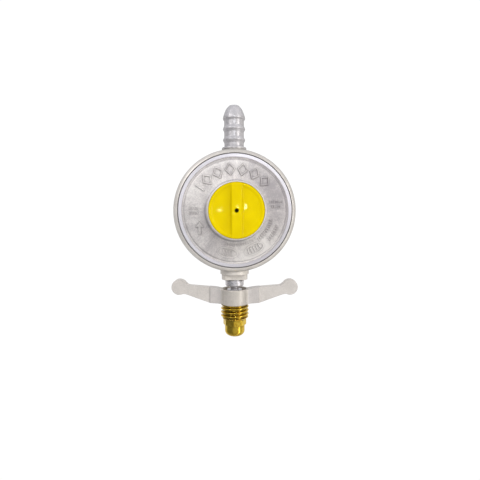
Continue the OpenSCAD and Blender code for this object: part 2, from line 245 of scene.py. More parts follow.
# ---------------------------------------------------------------- materials
def make_zinc(name, light, dark, edge_colour, edge_strength, rough, grain, soft, metal, limb_shade,
              crease_shade, seed=0.0, upper_right_shade=0.0, painted_light_below=None, cold_sheen_above=None, hub=None):
    """Tumbled die-cast zinc: a sandy skin, cloudy grey tone, marked edges, painted shade in the
    creases.

    grain: depth of the sandy skin. soft: bevel radius of the edges. seed: shift of the noises.
    limb_shade: how far painted shade darkens the skin where it turns away. crease_shade: how dark
    the painted shade in the inner corners is.
    upper_right_shade: how far painted shade darkens the upper right. painted_light_below: height
    below which painted light makes it brighter.
    cold_sheen_above: height above which the skin is smoother and colder; the cold tint is a painted
    reflection.
    hub: radius of a burnished middle about the flow axis.
    """
    m = Material(name)
    x, y, z = m.separate(m.pos)
    place = m.node("VectorMath", {0: m.pos, 1: (seed, seed * 0.7, seed * 1.3)},
                   operation="ADD").outputs[0]
    cloud = m.noise(scale=0.16, detail=4.0, rough=0.6, vector=place)
    patch = m.noise(scale=0.75, detail=3.0, rough=0.6, vector=place, distortion=0.6)
    sand = m.noise(scale=2.3, detail=3.0, rough=0.7, vector=place)
    fine = m.noise(scale=7.0, rough=0.6, vector=place)
    tone = m.weighted((cloud, 0.35), (patch, 0.2), (sand, 0.45))
    middle = tuple((a + b) / 2 for a, b in zip(light, dark))
    col = m.ramp(tone, [(0.34, dark), (0.5, middle), (0.64, light)])
    # painted shade: the upper right is darkened
    if upper_right_shade:
        side = m.toward(m.math("ARCTAN2", z, x), degrees=65)
        side = m.mul(side, m.plateau(z, up=(-34.5, -30.0), down=(33.0, 34.5)))
        col = m.darken(col, m.sub(0.98, m.mul(side, upper_right_shade)))
    edge = m.edge(radius=0.35)
    # on the nut the edge tint is a dark painted shade outline
    col = m.tint(col, edge, edge_strength, towards=edge_colour)
    # painted shade where the skin turns away from the view
    facing = m.node("LayerWeight", {"Blend": 0.5}).outputs["Facing"]
    col = m.tint(col, m.rise(facing, low=0.35, high=0.85), limb_shade, towards=scaled(dark, 0.4))
    # painted shade in the inner corners
    corner = m.inverse(m.openness(distance=1.6))
    col = m.tint(col, corner, crease_shade, towards=scaled(dark, 0.35))

    steady = None  # falls where the skin is smoother
    # painted light: brighter below a height
    if painted_light_below is not None:
        below = m.inverse(m.rise(z, low=painted_light_below - 0.8, high=painted_light_below + 0.8))
        col = m.mix(below, col, (1.22, 1.21, 1.19), "MULTIPLY")
    # smoother, more metallic and colder above a height; the cold tint is a painted reflection
    if cold_sheen_above is not None:
        above = m.rise(z, low=cold_sheen_above - 1.0, high=cold_sheen_above + 1.0)
        col = m.tint(col, above, strength=0.9, towards=(0.75, 0.77, 0.86), blend="MULTIPLY")
        rough = m.lerp(above, rough, rough - 0.06)
        metal = m.lerp(above, metal, 0.38)
        steady = m.inverse(m.mul(above, 0.75))
    if hub is not None:
        reach = m.radius(x, m.sub(y, AXIS_Y))
        burnished = m.inverse(m.rise(reach, low=hub, high=hub + 0.6))
        col = m.mix(burnished, col, (0.9, 0.89, 0.86), "MULTIPLY")
        metal = m.lerp(burnished, metal, 0.3)
        rough = m.lerp(burnished, rough, rough - 0.08)
        # the thick shoulders beside the hub are a little darker than the arms
        shoulder = m.band(reach, low=hub + 0.3, high=14.2, soft=0.2)
        col = m.mix(shoulder, col, (0.9, 0.9, 0.92), "MULTIPLY")
        # painted shade in the step where a shoulder ends
        step = m.band(reach, low=14.0, high=14.35, soft=0.12)
        col = m.tint(col, step, strength=0.3, towards=scaled(dark, 0.4))

    def steadied(strength):
        return strength if steady is None else m.mul(steady, strength)

    vary = m.add(m.sway(patch, amount=0.14), m.sway(sand, amount=0.14))
    if steady is not None:
        vary = m.mul(vary, steady)
    rubbed = m.mul(edge, 0.06)  # edges are a little glossier
    rough = m.sub(m.add(rough, vary), rubbed, clamp=True)
    normal = m.bevel(soft, samples=8)
    normal = m.bump(patch, strength=steadied(0.12), distance=0.05, normal=normal)
    normal = m.bump(sand, strength=steadied(grain), distance=0.03, normal=normal)
    normal = m.bump(fine, strength=grain * 0.6, distance=0.01, normal=normal)
    return m.finish(col, metal, rough, normal)


def make_cover(name, foot_shade=None):
    """Die-cast cover: a bright turned ring with painted highlights, painted shade in the step inside
    it, a mottled, streaked face with painted light and shade.

    foot_shade: painted shade at the foot of raised marks: (height above the face where it starts to
    fade, height where it is gone, strength).
    """
    m = Material(name)
    x, y, z = m.separate(m.pos)
    radius = m.radius(x, z)
    height = m.mul(y, -1.0)
    angle = m.math("ARCTAN2", z, x)
    # masks: the turned ring, the step inside it, the raised middle wall and the crease at its foot
    ring = m.mul(m.band(radius, low=28.8, high=30.9, soft=0.1), m.rise(height, low=21.0, high=21.3))
    step = m.band(radius, low=27.5, high=27.95, soft=0.18)
    wall = m.rise(height, low=22.7, high=23.3)
    crease_shade = m.mul(m.band(radius, low=15.95, high=16.75, soft=0.25),
                   m.inverse(m.rise(height, low=22.4, high=22.9)))

    cloud = m.noise(scale=0.13, detail=4.0, rough=0.6)
    patch = m.noise(scale=0.45, detail=4.0, rough=0.65, distortion=0.8)
    sand = m.noise(scale=2.0, detail=3.0, rough=0.7)
    fine = m.noise(scale=7.0, rough=0.6)
    # many cycles around and few outwards make radial streaks
    spokes = m.combine(m.mul(angle, 7.0), m.mul(radius, 0.07), 3.0)
    streak = m.noise(scale=1.0, detail=3.0, rough=0.65, vector=spokes)
    tone = m.weighted((cloud, 0.2), (patch, 0.25), (sand, 0.55))
    tone = m.add(tone, m.sway(streak, amount=0.4))
    # painted highlight: two brighter fans lie opposite each other across the face
    sheen_fans = m.math("COSINE", m.mul(m.sub(angle, math.radians(117)), 2.0))
    sheen_fans = m.mul(sheen_fans, m.inverse(m.rise(radius, low=28.3, high=28.8)))
    tone = m.add(tone, m.mul(sheen_fans, 0.085))
    # sectors of painted light and shade: direction in degrees, cosines where it starts and is full,
    # change of tone
    for degrees, start, full, gain in ((5, 0.5, 0.97, -0.09), (185, 0.6, 0.98, 0.11),
                                       (300, 0.8, 0.99, 0.13)):
        sector = m.rise(m.toward(angle, degrees), low=start, high=full)
        sector = m.mul(sector, m.plateau(radius, up=(16.5, 20.0), down=(28.0, 28.8)))
        tone = m.add(tone, m.mul(sector, gain))
    # painted shade: the face darkens towards the upper right
    face_upper_right_shade = m.mul(m.toward(angle, degrees=75), m.rise(radius, low=17.0, high=22.0))
    tone = m.sub(tone, m.mul(face_upper_right_shade, 0.05))
    col = m.ramp(tone, [(0.26, srgb(172, 166, 168)), (0.5, srgb(209, 203, 201)),
                        (0.72, srgb(244, 239, 235))])
    col = m.tint(col, wall, strength=0.45, towards=srgb(248, 244, 240))
    # painted shade in the crease at the foot of the wall
    col = m.tint(col, crease_shade, strength=0.4, towards=srgb(110, 108, 118))

    # few cycles around and many outwards make the ring's tool lines
    circles = m.combine(m.mul(radius, 22.0), m.mul(angle, 0.8), 0.0)
    turning = m.noise(scale=1.0, rough=0.7, vector=circles)
    ring_col = m.ramp(turning, [(0.3, srgb(228, 224, 232)), (0.7, srgb(250, 247, 252))])
    # painted highlights: the ring is brightest at the upper right, and again at the left
    highlight_upper_right = m.rise(m.toward(angle, degrees=45), low=0.4, high=0.95)
    highlight_left = m.rise(m.toward(angle, degrees=200), low=0.3, high=0.9)
    ring_col = m.darken(ring_col, m.add(0.79, m.weighted((highlight_upper_right, 0.21), (highlight_left, 0.15))))
    col = m.mix(ring, col, ring_col)
    # painted shade in the step inside the ring
    col = m.tint(col, step, strength=0.3, towards=srgb(104, 98, 106))
    if foot_shade:
        # painted shade in the corner where a raised mark meets the face
        start, end, strength = foot_shade
        fall = 0.0278  # of the face per mm outwards
        face = m.sub(FACE_INNER[1], m.mul(m.sub(radius, FACE_INNER[0]), fall))
        foot = m.inverse(m.rise(m.sub(height, face), low=start, high=end))
        col = m.tint(col, foot, strength, towards=srgb(70, 62, 66))
    col = m.tint(col, m.edge(radius=0.3), strength=0.3, towards=srgb(245, 242, 238))
    openness = m.openness(distance=1.3)
    # painted shade in the corners, darkest far out on the right
    shade_outer_right = m.mul(m.toward(angle, degrees=20),
                        m.mul(m.rise(radius, low=27.0, high=28.0), 0.3))
    col = m.tint(col, m.inverse(openness), strength=m.add(0.68, shade_outer_right),
                 towards=srgb(86, 78, 82))

    rough = m.add(0.4, m.sway(patch, amount=0.25))
    rough = m.add(rough, m.sway(sand, amount=0.2), clamp=True)
    rough = m.lerp(ring, rough, 0.42)
    normal = m.bevel(0.18)
    cast = m.inverse(ring)
    # relief of the skin: texture, where it shows, strength, distance
    for texture, mask, strength, distance in ((patch, cast, 0.3, 0.06), (sand, cast, 0.5, 0.05),
                                              (fine, cast, 0.35, 0.015),
                                              (turning, ring, 0.35, 0.02)):
        normal = m.bump(texture, m.mul(mask, strength), distance, normal)
    return m.finish(col, metallic=m.lerp(ring, 0.34, 0.45), rough=rough, normal=normal)


def make_brass(name):
    """Bright turned brass: fine tool rings, painted shade in the grooves, worn crests."""
    m = Material(name)
    z = m.separate(m.pos)[2]
    film = m.noise(scale=0.5, detail=4.0, rough=0.65)
    spots = m.noise(scale=2.6, detail=3.0, rough=0.7)
    col = m.ramp(m.weighted((film, 0.55), (spots, 0.45)),
                 [(0.34, srgb(190, 152, 44)), (0.5, srgb(226, 190, 66)),
                  (0.66, srgb(246, 220, 100))])
    openness = m.openness(distance=1.3)
    # painted shade in the grooves
    col = m.tint(col, m.inverse(openness), strength=1.2, towards=srgb(78, 54, 12), clamp=True)
    col = m.tint(col, m.edge(radius=0.2), strength=0.45, towards=srgb(255, 238, 150))
    lines = m.tool_lines(z, per_mm=12.0)
    rough = m.add(0.13, m.sway(film, amount=0.16, middle=0.45))
    grooves = m.mul(m.inverse(openness), 0.2)  # duller in the grooves
    rough = m.add(rough, grooves, clamp=True)
    normal = m.bump(lines, strength=0.12, distance=0.015, normal=m.bevel(0.14))
    normal = m.bump(spots, strength=0.08, distance=0.03, normal=normal)
    return m.finish(col, metallic=1.0, rough=rough, normal=normal)


def make_steel(name, base, rough, lines, metal=1.0):
    """Turned bright metal with a faint film. lines: depth of the tool rings."""
    m = Material(name)
    z = m.separate(m.pos)[2]
    film = m.noise(scale=0.6, detail=4.0, rough=0.6)
    fine = m.noise(scale=3.0, rough=0.6)
    col = m.ramp(film, [(0.3, scaled(base, 0.7)), (0.5, base), (0.7, scaled(base, 1.25))])
    warm = (base[0] * 1.05, base[1] * 0.98, base[2] * 0.85)
    col = m.mix(m.rise(m.noise(scale=0.9), low=0.55, high=0.75), col, warm)
    # painted shade in the corners
    corner = m.inverse(m.openness(distance=1.5))
    col = m.tint(col, corner, strength=0.7, towards=scaled(base, 0.25))
    col = m.tint(col, m.edge(radius=0.2), strength=0.4, towards=(0.9, 0.9, 0.92))
    rings = m.tool_lines(z, per_mm=16.0)
    rough = m.add(rough, m.sway(fine, amount=0.25), clamp=True)
    normal = m.bump(rings, strength=lines, distance=0.015, normal=m.bevel(0.15))
    normal = m.bump(fine, strength=0.2, distance=0.02, normal=normal)
    return m.finish(col, metal, rough, normal)


def make_plastic(name):
    """Moulded yellow plastic: slight flow marks, fine scuffs, lighter rubbed edges."""
    m = Material(name)
    flow = m.noise(scale=0.12)
    peel = m.noise(scale=1.6)
    stretched = m.node("VectorMath", {0: m.pos, 1: (1.0, 1.0, 7.0)},
                       operation="MULTIPLY").outputs[0]
    scuff = m.noise(scale=1.0, detail=3.0, rough=0.7, vector=stretched)
    col = m.ramp(flow, [(0.3, srgb(226, 198, 0)), (0.5, srgb(231, 204, 0)),
                        (0.7, srgb(236, 209, 0))])
    # painted shade: each recess is a little deeper in tone where it runs up to the grip rib
    x = m.separate(m.pos)[0]
    left = m.plateau(x, up=(-10.0, -2.9), down=(-2.6, -2.2))
    right = m.plateau(x, up=(2.3, 2.8), down=(3.2, 8.0))
    col = m.mix(m.weighted((left, 0.42), (right, 0.16)), col, srgb(196, 168, 0))
    col = m.tint(col, m.edge(radius=0.3), strength=0.15, towards=srgb(248, 226, 0))
    # painted shade in the corners
    corner = m.inverse(m.openness(distance=3.0))
    col = m.tint(col, corner, strength=0.3, towards=srgb(190, 152, 0))
    scuffed = m.mul(m.rise(scuff, low=0.6, high=0.85), 0.03)
    normal = m.bump(peel, strength=0.09, distance=0.03, normal=m.bevel(0.3))
    normal = m.bump(scuff, strength=0.03, distance=0.01, normal=normal)
    return m.finish(col, metallic=0.0, rough=m.add(0.035, scuffed), normal=normal,
                    specular=0.15, specular_tint=(1.0, 1.0, 0.6))


def make_rubber(name):
    """Near-black matt rubber."""
    m = Material(name)
    cloud = m.noise(scale=1.2, detail=3.0, rough=0.6)
    fine = m.noise(scale=8.0, rough=0.6)
    col = m.ramp(cloud, [(0.3, (0.012, 0.012, 0.013)), (0.7, (0.035, 0.034, 0.034))])
    rough = m.add(0.62, m.sway(fine, amount=0.3), clamp=True)
    normal = m.bump(fine, strength=0.25, distance=0.02, normal=m.bevel(0.15))
    return m.finish(col, metallic=0.0, rough=rough, normal=normal)


def make_mesh_metal(name):
    """Dark bronze gauze, from small cells."""
    m = Material(name)
    cells = m.node("TexVoronoi", {"Scale": 4.5, "Vector": m.pos}).outputs["Distance"]
    col = m.ramp(cells, [(0.1, srgb(150, 118, 60)), (0.6, srgb(60, 44, 20))])
    normal = m.bump(cells, strength=0.8, distance=0.05)
    return m.finish(col, metallic=0.9, rough=0.6, normal=normal)


BODY_LIGHT, BODY_DARK = srgb(232, 226, 219), srgb(202, 196, 190)
NUT_LIGHT, NUT_DARK = srgb(233, 226, 220), srgb(203, 197, 191)
MAKERS = {
    "cast_zinc": (make_zinc, dict(
        light=BODY_LIGHT, dark=BODY_DARK, edge_colour=scaled(BODY_LIGHT, 1.2), edge_strength=0.35,
        rough=0.42, grain=0.3, soft=0.25, metal=0.32, limb_shade=0.45, crease_shade=0.55, upper_right_shade=0.16,
        painted_light_below=-33.2, cold_sheen_above=34.2)),
    # the nut's dark edge colour is a painted shade outline
    "cast_zinc_nut": (make_zinc, dict(
        light=NUT_LIGHT, dark=NUT_DARK, edge_colour=scaled(NUT_DARK, 0.3), edge_strength=0.45,
        rough=0.46, grain=0.45, soft=0.4, metal=0.22, limb_shade=0.15, crease_shade=0.25, seed=37.0,
        hub=8.1)),
    "cast_zinc_face": (make_cover, {}),
    "cast_zinc_marks": (make_cover, dict(foot_shade=(0.1, 0.46, 0.95))),
    "cast_zinc_ticks": (make_cover, dict(foot_shade=(0.03, 0.26, 0.9))),
    "yellow_plastic": (make_plastic, {}),
    "brass": (make_brass, {}),
    "plated_steel": (make_steel, dict(base=srgb(215, 213, 217), rough=0.3, lines=0.25,
                                      metal=0.72)),
    "spring_steel": (make_steel, dict(base=srgb(150, 152, 158), rough=0.34, lines=0.05)),
    "aluminium": (make_steel, dict(base=srgb(208, 210, 214), rough=0.36, lines=0.08)),
    "rubber": (make_rubber, {}),
    "bronze_mesh": (make_mesh_metal, {}),
}
MATERIALS = {name: maker(name, **settings) for name, (maker, settings) in MAKERS.items()}

for name, obj in NODES.items():
    obj.data.materials.clear()
    obj.data.materials.append(MATERIALS["cast_zinc_nut" if name == "wing_nut" else SLOT[name]])


# ---------------------------------------------------------------- mesh helpers
def shade_smooth(obj, degrees):
    """Smooth shading with hard edges kept above an angle."""
    mesh = obj.data
    mesh.polygons.foreach_set("use_smooth", [True] * len(mesh.polygons))
    if mesh.has_custom_normals:
        with bpy.context.temp_override(object=obj, active_object=obj, selected_objects=[obj]):
            bpy.ops.mesh.customdata_custom_splitnormals_clear()
    bm = bmesh.new()
    bm.from_mesh(mesh)
    limit = math.radians(degrees)
    sharp = [len(edge.link_faces) == 2 and edge.calc_face_angle(0.0) > limit for edge in bm.edges]
    bm.free()
    marks = (mesh.attributes.get("sharp_edge")
             or mesh.attributes.new("sharp_edge", "BOOLEAN", "EDGE"))
    marks.data.foreach_set("value", sharp)
    mesh.update()


def build(name, verts, faces, material, body=None, slot=None):
    """An object from millimetre vertices, riding on a body. The slot is not used."""
    mesh = bpy.data.meshes.new(name)
    mesh.from_pydata([tuple(c * MM for c in v) for v in verts], [], faces)
    mesh.update()
    obj = bpy.data.objects.new(name, mesh)
    bpy.context.scene.collection.objects.link(obj)
    mesh.materials.append(MATERIALS[material])
    bm = bmesh.new()
    bm.from_mesh(mesh)
    bmesh.ops.remove_doubles(bm, verts=bm.verts, dist=1e-7)
    bmesh.ops.recalc_face_normals(bm, faces=bm.faces)
    bm.to_mesh(mesh)
    bm.free()
    shade_smooth(obj, degrees=32.0)
    if body:
        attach(obj, body)
    slot or material
    return obj


def ring_faces(rings, count, base=0):
    """Quads between successive rings of count vertices, each ring closed on itself."""
    faces = []
    for i in range(rings - 1):
        low, high = base + i * count, base + (i + 1) * count
        for j in range(count):
            k = (j + 1) % count
            faces.append((low + j, low + k, high + k, high + j))
    return faces


def end_faces(rings, count):
    """The two faces that close the first and the last ring."""
    return [tuple(range(count)), tuple((rings - 1) * count + i for i in reversed(range(count)))]


def lathe(rows, cols, point):
    """A profile of rows swept around; point(row, angle) gives a vertex."""
    verts = [point(i, math.tau * j / cols) for i in range(rows) for j in range(cols)]
    return verts, ring_faces(rows, cols)


def about_flow(radius, angle, z):
    return (radius * math.cos(angle), AXIS_Y + radius * math.sin(angle), z)


def about_front(radius, angle, height):
    return (radius * math.cos(angle), -height, radius * math.sin(angle))


def smoothstep(value, low, high):
    t = max(0.0, min(1.0, (value - low) / (high - low)))
    return t * t * (3 - 2 * t)


# ---------------------------------------------------------------- threaded sleeve
PITCH, CREST_R, ROOT_R = 2.117, 7.94, 6.69
CREST_Z = -56.467          # a crest passes here at angle 0
CREST_HALF = 0.085         # half width of a crest, in pitches
FLANK = 0.33               # width of a flank, in pitches
ROUNDING = 0.35            # share of the flank's curve that is rounded
ROOT_CLEARANCE = 0.02      # the thread runs out to just below the root
SLEEVE_TOP, HUB_END, SLEEVE_END = -48.0, -53.15, -61.4
SLEEVE_BORE, COLLAR_R, COLLAR_BEVEL = 2.38, 6.0, 0.3
THREAD_STEP = 0.055


def thread_radius(z, angle):
    """Radius of the right-hand helix."""
    phase = ((z - CREST_Z - PITCH * angle / math.tau) / PITCH) % 1.0
    from_crest = min(phase, 1.0 - phase)
    fall = min(1.0, max(0.0, (from_crest - CREST_HALF) / FLANK))
    fall = fall * fall * (3 - 2 * fall) * ROUNDING + fall * (1 - ROUNDING)
    radius = CREST_R - (CREST_R - ROOT_R) * fall
    # lead-in cone at the lower end
    radius = min(radius, ROOT_R + 0.1 + max(0.0, z - SLEEVE_END) * 1.05)
    # the thread runs out under the hub
    run = smoothstep(z, HUB_END + 0.1, HUB_END - 0.55)
    floor = ROOT_R - ROOT_CLEARANCE
    return floor + (radius - floor) * (0.25 + 0.75 * run)


def sleeve():
    steps = int((HUB_END - SLEEVE_END) / THREAD_STEP) + 1
    thread_top = HUB_END + 0.02
    thread_z = [thread_top - i * THREAD_STEP for i in range(steps)]
    thread_z[-1] = SLEEVE_END
    # (radius, z); the thread gives its own radius
    profile = [(SLEEVE_BORE, SLEEVE_TOP), (COLLAR_R - COLLAR_BEVEL, SLEEVE_TOP),
               (COLLAR_R, SLEEVE_TOP - COLLAR_BEVEL), (COLLAR_R, thread_top)]
    profile += [(None, z) for z in thread_z]
    profile += [(SLEEVE_BORE, SLEEVE_END), (SLEEVE_BORE, SLEEVE_TOP)]

    def point(i, angle):
        radius, z = profile[i]
        return about_flow(thread_radius(z, angle) if radius is None else radius, angle, z)

    obj = build("sleeve_helix", *lathe(len(profile), 144, point), "brass", "coupling_nut")
    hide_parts("threaded_sleeve")


sleeve()


# ---------------------------------------------------------------- nose
NOSE_TOP, OCTAGON_END, NOSE_END = -61.45, -65.0, -71.6
NOSE_BORE, TIP_BORE, NOSE_R = 2.32, 1.5, 5.7
OCTAGON_CORNER_R = 6.65
OCTAGON_MAX_R = 6.6        # the corners are turned down to this
OCTAGON_EDGE_R = 6.12      # where the chamfers start, at both ends
CHAMFER_SLOPE = 1.3
OCTAGON_TURN = math.radians(8.0)
DOME_FLAT_R, DOME_HEIGHT, DOME_STEPS = 1.9, 3.2, 18


def octagon_radius(z, angle):
    """Eight-sided collar with chamfered ends."""
    around = (angle + OCTAGON_TURN) % (math.pi / 4)
    apothem = OCTAGON_CORNER_R * math.cos(math.pi / 8)
    flat = apothem / math.cos(around - math.pi / 8)
    cone = OCTAGON_EDGE_R + min(NOSE_TOP - z, z - OCTAGON_END) * CHAMFER_SLOPE
    return min(flat, cone, OCTAGON_MAX_R)


def nose():
    dome_start = NOSE_END + DOME_HEIGHT
    # (radius, z); the octagon gives its own radius
    profile = [(NOSE_BORE, NOSE_TOP)]
    profile += [(None, NOSE_TOP - drop) for drop in (0.0, 0.12, 0.3, 0.6, 1.4, 2.4)]
    profile += [(None, OCTAGON_END + lift) for lift in (0.45, 0.25, 0.1, 0.0)]
    profile += [(NOSE_R + 0.08, OCTAGON_END - 0.02), (NOSE_R, OCTAGON_END - 0.14),
                (NOSE_R, OCTAGON_END - 1.6), (NOSE_R, dome_start)]
    for i in range(1, DOME_STEPS + 1):
        turn = i / DOME_STEPS * math.pi / 2
        profile.append((DOME_FLAT_R + (NOSE_R - DOME_FLAT_R) * math.cos(turn),
                        dome_start - DOME_HEIGHT * math.sin(turn)))
    profile += [(TIP_BORE + 0.12, NOSE_END + 0.02), (TIP_BORE, NOSE_END + 0.15),
                (TIP_BORE, NOSE_END + 3.4)]

    def point(i, angle):
        radius, z = profile[i]
        return about_flow(octagon_radius(z, angle) if radius is None else radius, angle, z)

    obj = build("nose_turned", *lathe(len(profile), 192, point), "brass", "regulator")
    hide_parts("nose")


nose()


# ---------------------------------------------------------------- cap
CAP_R, CAP_FRONT, CAP_SEAT = 14.35, 35.0, 33.3
CAP_HOLE = 1.05
RIB_HALF = 2.42            # half width of the upright grip rib
CAP_EDGE = 0.38            # rounding of the rim
SKIRT_OUT, SKIRT_IN = 12.45, 11.4


def cap_height(x, z):
    """Border and rib, with a dished recess on each side of the rib."""
    radius = math.hypot(x, z)
    top = CAP_FRONT - 0.02 - 0.05 * (radius / CAP_R) ** 2
    dish = CAP_FRONT - 1.25 + 0.85 * (radius / 13.2) ** 2
    inside = smoothstep(radius, 13.7, 11.9) * smoothstep(abs(x), RIB_HALF - 0.2, RIB_HALF + 1.1)
    over = max(0.0, radius - (CAP_R - CAP_EDGE))
    drop = CAP_EDGE - math.sqrt(max(0.0, CAP_EDGE ** 2 - over ** 2))
    return top + (dish - top) * inside - drop


def cap():
    # rows of the front; the first two coincide and merge
    radii = [CAP_HOLE, CAP_HOLE, 1.12, 1.3, 1.6, 2.0]
    # finer steps near the rim: (radius to reach, step)
    for limit, step in ((12.6, 0.17), (CAP_R - 0.05, 0.07)):
        while radii[-1] < limit:
            radii.append(radii[-1] + step)
    radii.append(CAP_R)
    inner, lip = CAP_SEAT - 0.6, CAP_SEAT - 1.6
    hole_rows = 2          # sunk a little, to soften the hole's rim
    # (radius, height, sink); the front gives its own height
    rows = [(CAP_HOLE, inner, 0.0)]
    rows += [(r, None, 0.08 if i < hole_rows else 0.0) for i, r in enumerate(radii)]
    rows += [(CAP_R, CAP_SEAT, 0.0), (SKIRT_OUT, CAP_SEAT, 0.0), (SKIRT_OUT, lip + 0.3, 0.0),
             (SKIRT_OUT - 0.25, lip, 0.0), (SKIRT_IN, lip, 0.0), (SKIRT_IN, inner, 0.0),
             (CAP_HOLE, inner, 0.0)]

    def point(i, angle):
        radius, height, sink = rows[i]
        if height is None:
            height = cap_height(radius * math.cos(angle), radius * math.sin(angle)) - sink
        return about_front(radius, angle, height)

    obj = build("cap_moulded", *lathe(len(rows), 420, point), "yellow_plastic", "vent_cap")
    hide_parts("cap")


cap()


# ---------------------------------------------------------------- diaphragm
def bow(centre, radii, start, end, steps):
    """Points on an ellipse in the (radius, height) plane, between two angles in degrees."""
    points = []
    for i in range(steps + 1):
        turn = math.radians(start + (end - start) * i / steps)
        points.append((centre[0] + radii[0] * math.cos(turn),
                       centre[1] + radii[1] * math.sin(turn)))
    return points


def diaphragm(sectors=12, steps=8):
    """Sectors that stretch between the clamped rim and the plate.
    """
    # (radius, height): out along the back over the bow to the rim, and home along the front
    profile = [(2.45, 15.6), (20.8, 15.6)]
    profile += bow(centre=(23.85, 16.0), radii=(2.8, 2.2), start=176, end=4, steps=12)
    profile += [(27.1, 16.2), (31.85, 16.2), (31.85, 17.6), (28.3, 17.6), (27.6, 16.9)]
    profile += bow(centre=(23.85, 16.1), radii=(3.6, 2.9), start=8, end=172, steps=14)
    profile += [(20.1, 16.4), (2.45, 16.4)]
    half = math.pi / sectors
    count = len(profile)
    faces = ring_faces(steps + 1, count) + end_faces(steps + 1, count)
    for k in range(sectors):
        middle = math.tau * k / sectors
        verts = []
        for j in range(steps + 1):
            angle = middle - half + 2 * half * j / steps
            verts += [about_front(radius, angle, height) for radius, height in profile]
        obj = build("diaphragm_sector_%02d" % (k + 1), verts, faces, SLOT["diaphragm"])
        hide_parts("diaphragm")
        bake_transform(obj)


diaphragm()


# ---------------------------------------------------------------- main spring
SPRING_TURNS, COIL_R, WIRE_R = 3.25, 9.4, 0.7
FLAT_TURNS = 0.6           # turns at each end that don't climb
WIRE_SEAT = 0.71           # wire centre to the seat
SPRING_LOW, SPRING_HIGH = 17.2 + WIRE_SEAT, 26.7 - WIRE_SEAT


def spring_half(name, start, end):
    """Round wire between two shares of the whole spring."""
    steps, sides = 110, 14
    verts = []
    for i in range(steps + 1):
        turn = SPRING_TURNS * (start + (end - start) * i / steps)
        climb = (turn - FLAT_TURNS) / (SPRING_TURNS - 2 * FLAT_TURNS)
        height = SPRING_LOW + (SPRING_HIGH - SPRING_LOW) * max(0.0, min(1.0, climb))
        for k in range(sides):
            around = math.tau * k / sides
            verts.append(about_front(COIL_R + WIRE_R * math.cos(around), math.tau * turn,
                                     height + WIRE_R * math.sin(around)))
    faces = ring_faces(steps + 1, sides) + end_faces(steps + 1, sides)
    obj = build(name, verts, faces, SLOT["main_spring"])
    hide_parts("main_spring")
    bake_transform(obj)


spring_half("main_spring_lower", 0.0, 0.5)
spring_half("main_spring_upper", 0.5, 1.0)


# ---------------------------------------------------------------- raised marks on the cover's face
def face_height(radius):
    share = (radius - FACE_INNER[0]) / (FACE_OUTER[0] - FACE_INNER[0])
    share = max(0.0, min(1.0, share))
    return FACE_INNER[1] + (FACE_OUTER[1] - FACE_INNER[1]) * share


def polar(radius, degrees):
    return radius * math.cos(math.radians(degrees)), radius * math.sin(math.radians(degrees))


def rounded(corners, radius, steps=3):
    """A polygon with rounded corners."""
    out = []
    for i in range(len(corners)):
        before, corner, after = (Vector(corners[(i + k) % len(corners)]) for k in (-1, 0, 1))
        start = corner + (before - corner).normalized() * radius
        end = corner + (after - corner).normalized() * radius
        for k in range(steps + 1):
            t = k / steps
            out.append(tuple((1 - t) ** 2 * start + 2 * t * (1 - t) * corner + t * t * end))
    return out


class Relief:
    """Pads raised from the face. Outlines are counter-clockwise lists of (x, z)."""

    def __init__(self):
        self.verts, self.faces = [], []

    def pad(self, corners, corner_radius, height, draft):
        """A pad with sloping sides and a soft top edge."""
        outline = rounded(corners, corner_radius)
        count = len(outline)
        inward = []
        for i in range(count):
            a, b, c = (Vector(outline[(i + k) % count]) for k in (-1, 0, 1))
            along = (b - a).normalized() + (c - b).normalized()
            inward.append(Vector((-along.y, along.x)).normalized())
        base = len(self.verts)
        # (inset, height above the face); the foot is sunk into it
        rings = [(0.0, -0.3), (0.0, 0.02), (draft * 0.6, height * 0.7),
                 (draft * 1.05, height * 0.93), (draft * 1.7, height)]
        for inset, lift in rings:
            for (x, z), normal in zip(outline, inward):
                px, pz = x + normal.x * inset, z + normal.y * inset
                self.verts.append((px, -(face_height(math.hypot(px, pz)) + lift), pz))
        self.faces += ring_faces(len(rings), count, base)
        self.faces.append(tuple(base + (len(rings) - 1) * count + i for i in range(count)))

    def box(self, x, z, half_width, half_height, corner_radius, height):
        corners = [(x + i * half_width, z + k * half_height)
                   for i, k in ((-1, -1), (1, -1), (1, 1), (-1, 1))]
        self.pad(corners, corner_radius, height, draft=0.08)

    def spokes(self, count, first, step, inner, outer, width, height):
        """Bars that run outwards between two radii, from a first angle in degrees."""
        half_length = (outer - inner) / 2
        for i in range(count):
            c, s = polar(1.0, first + i * step)
            x, z = (inner + outer) / 2 * c, (inner + outer) / 2 * s
            corners = []
            for u, side in ((-half_length, -1), (half_length, -1), (half_length, 1),
                            (-half_length, 1)):
                v = side * width / 2
                corners.append((x + c * u - s * v, z + s * u + c * v))
            self.pad(corners, min(width * 0.35, 0.3), height, draft=0.12)

    def lozenge(self, radius, degrees, half_length=3.1, half_width=2.5, stroke=0.85):
        """A hollow lozenge of four straight strokes, its long axis outwards."""
        x, z = polar(radius, degrees)
        c, s = polar(1.0, degrees)
        tips = [(half_length, 0.0), (0.0, half_width), (-half_length, 0.0), (0.0, -half_width)]
        for i in range(4):
            start, end = Vector(tips[i]), Vector(tips[(i + 1) % 4])
            along = (end - start).normalized()
            side = Vector((-along.y, along.x)) * stroke / 2
            overlap = along * stroke * 0.32
            start, end = start - overlap, end + overlap
            corners = [(x + p.x * c - p.y * s, z + p.x * s + p.y * c)
                       for p in (start - side, end - side, end + side, start + side)]
            self.pad(corners, corner_radius=0.2, height=0.55, draft=0.14)


ARROW = (
    [(0.0, 3.9), (-2.4, 0.6), (2.4, 0.6)],                          # head
    [(-0.85, 0.9), (-0.85, -3.4), (0.85, -3.4), (0.85, 0.9)],       # shaft
)


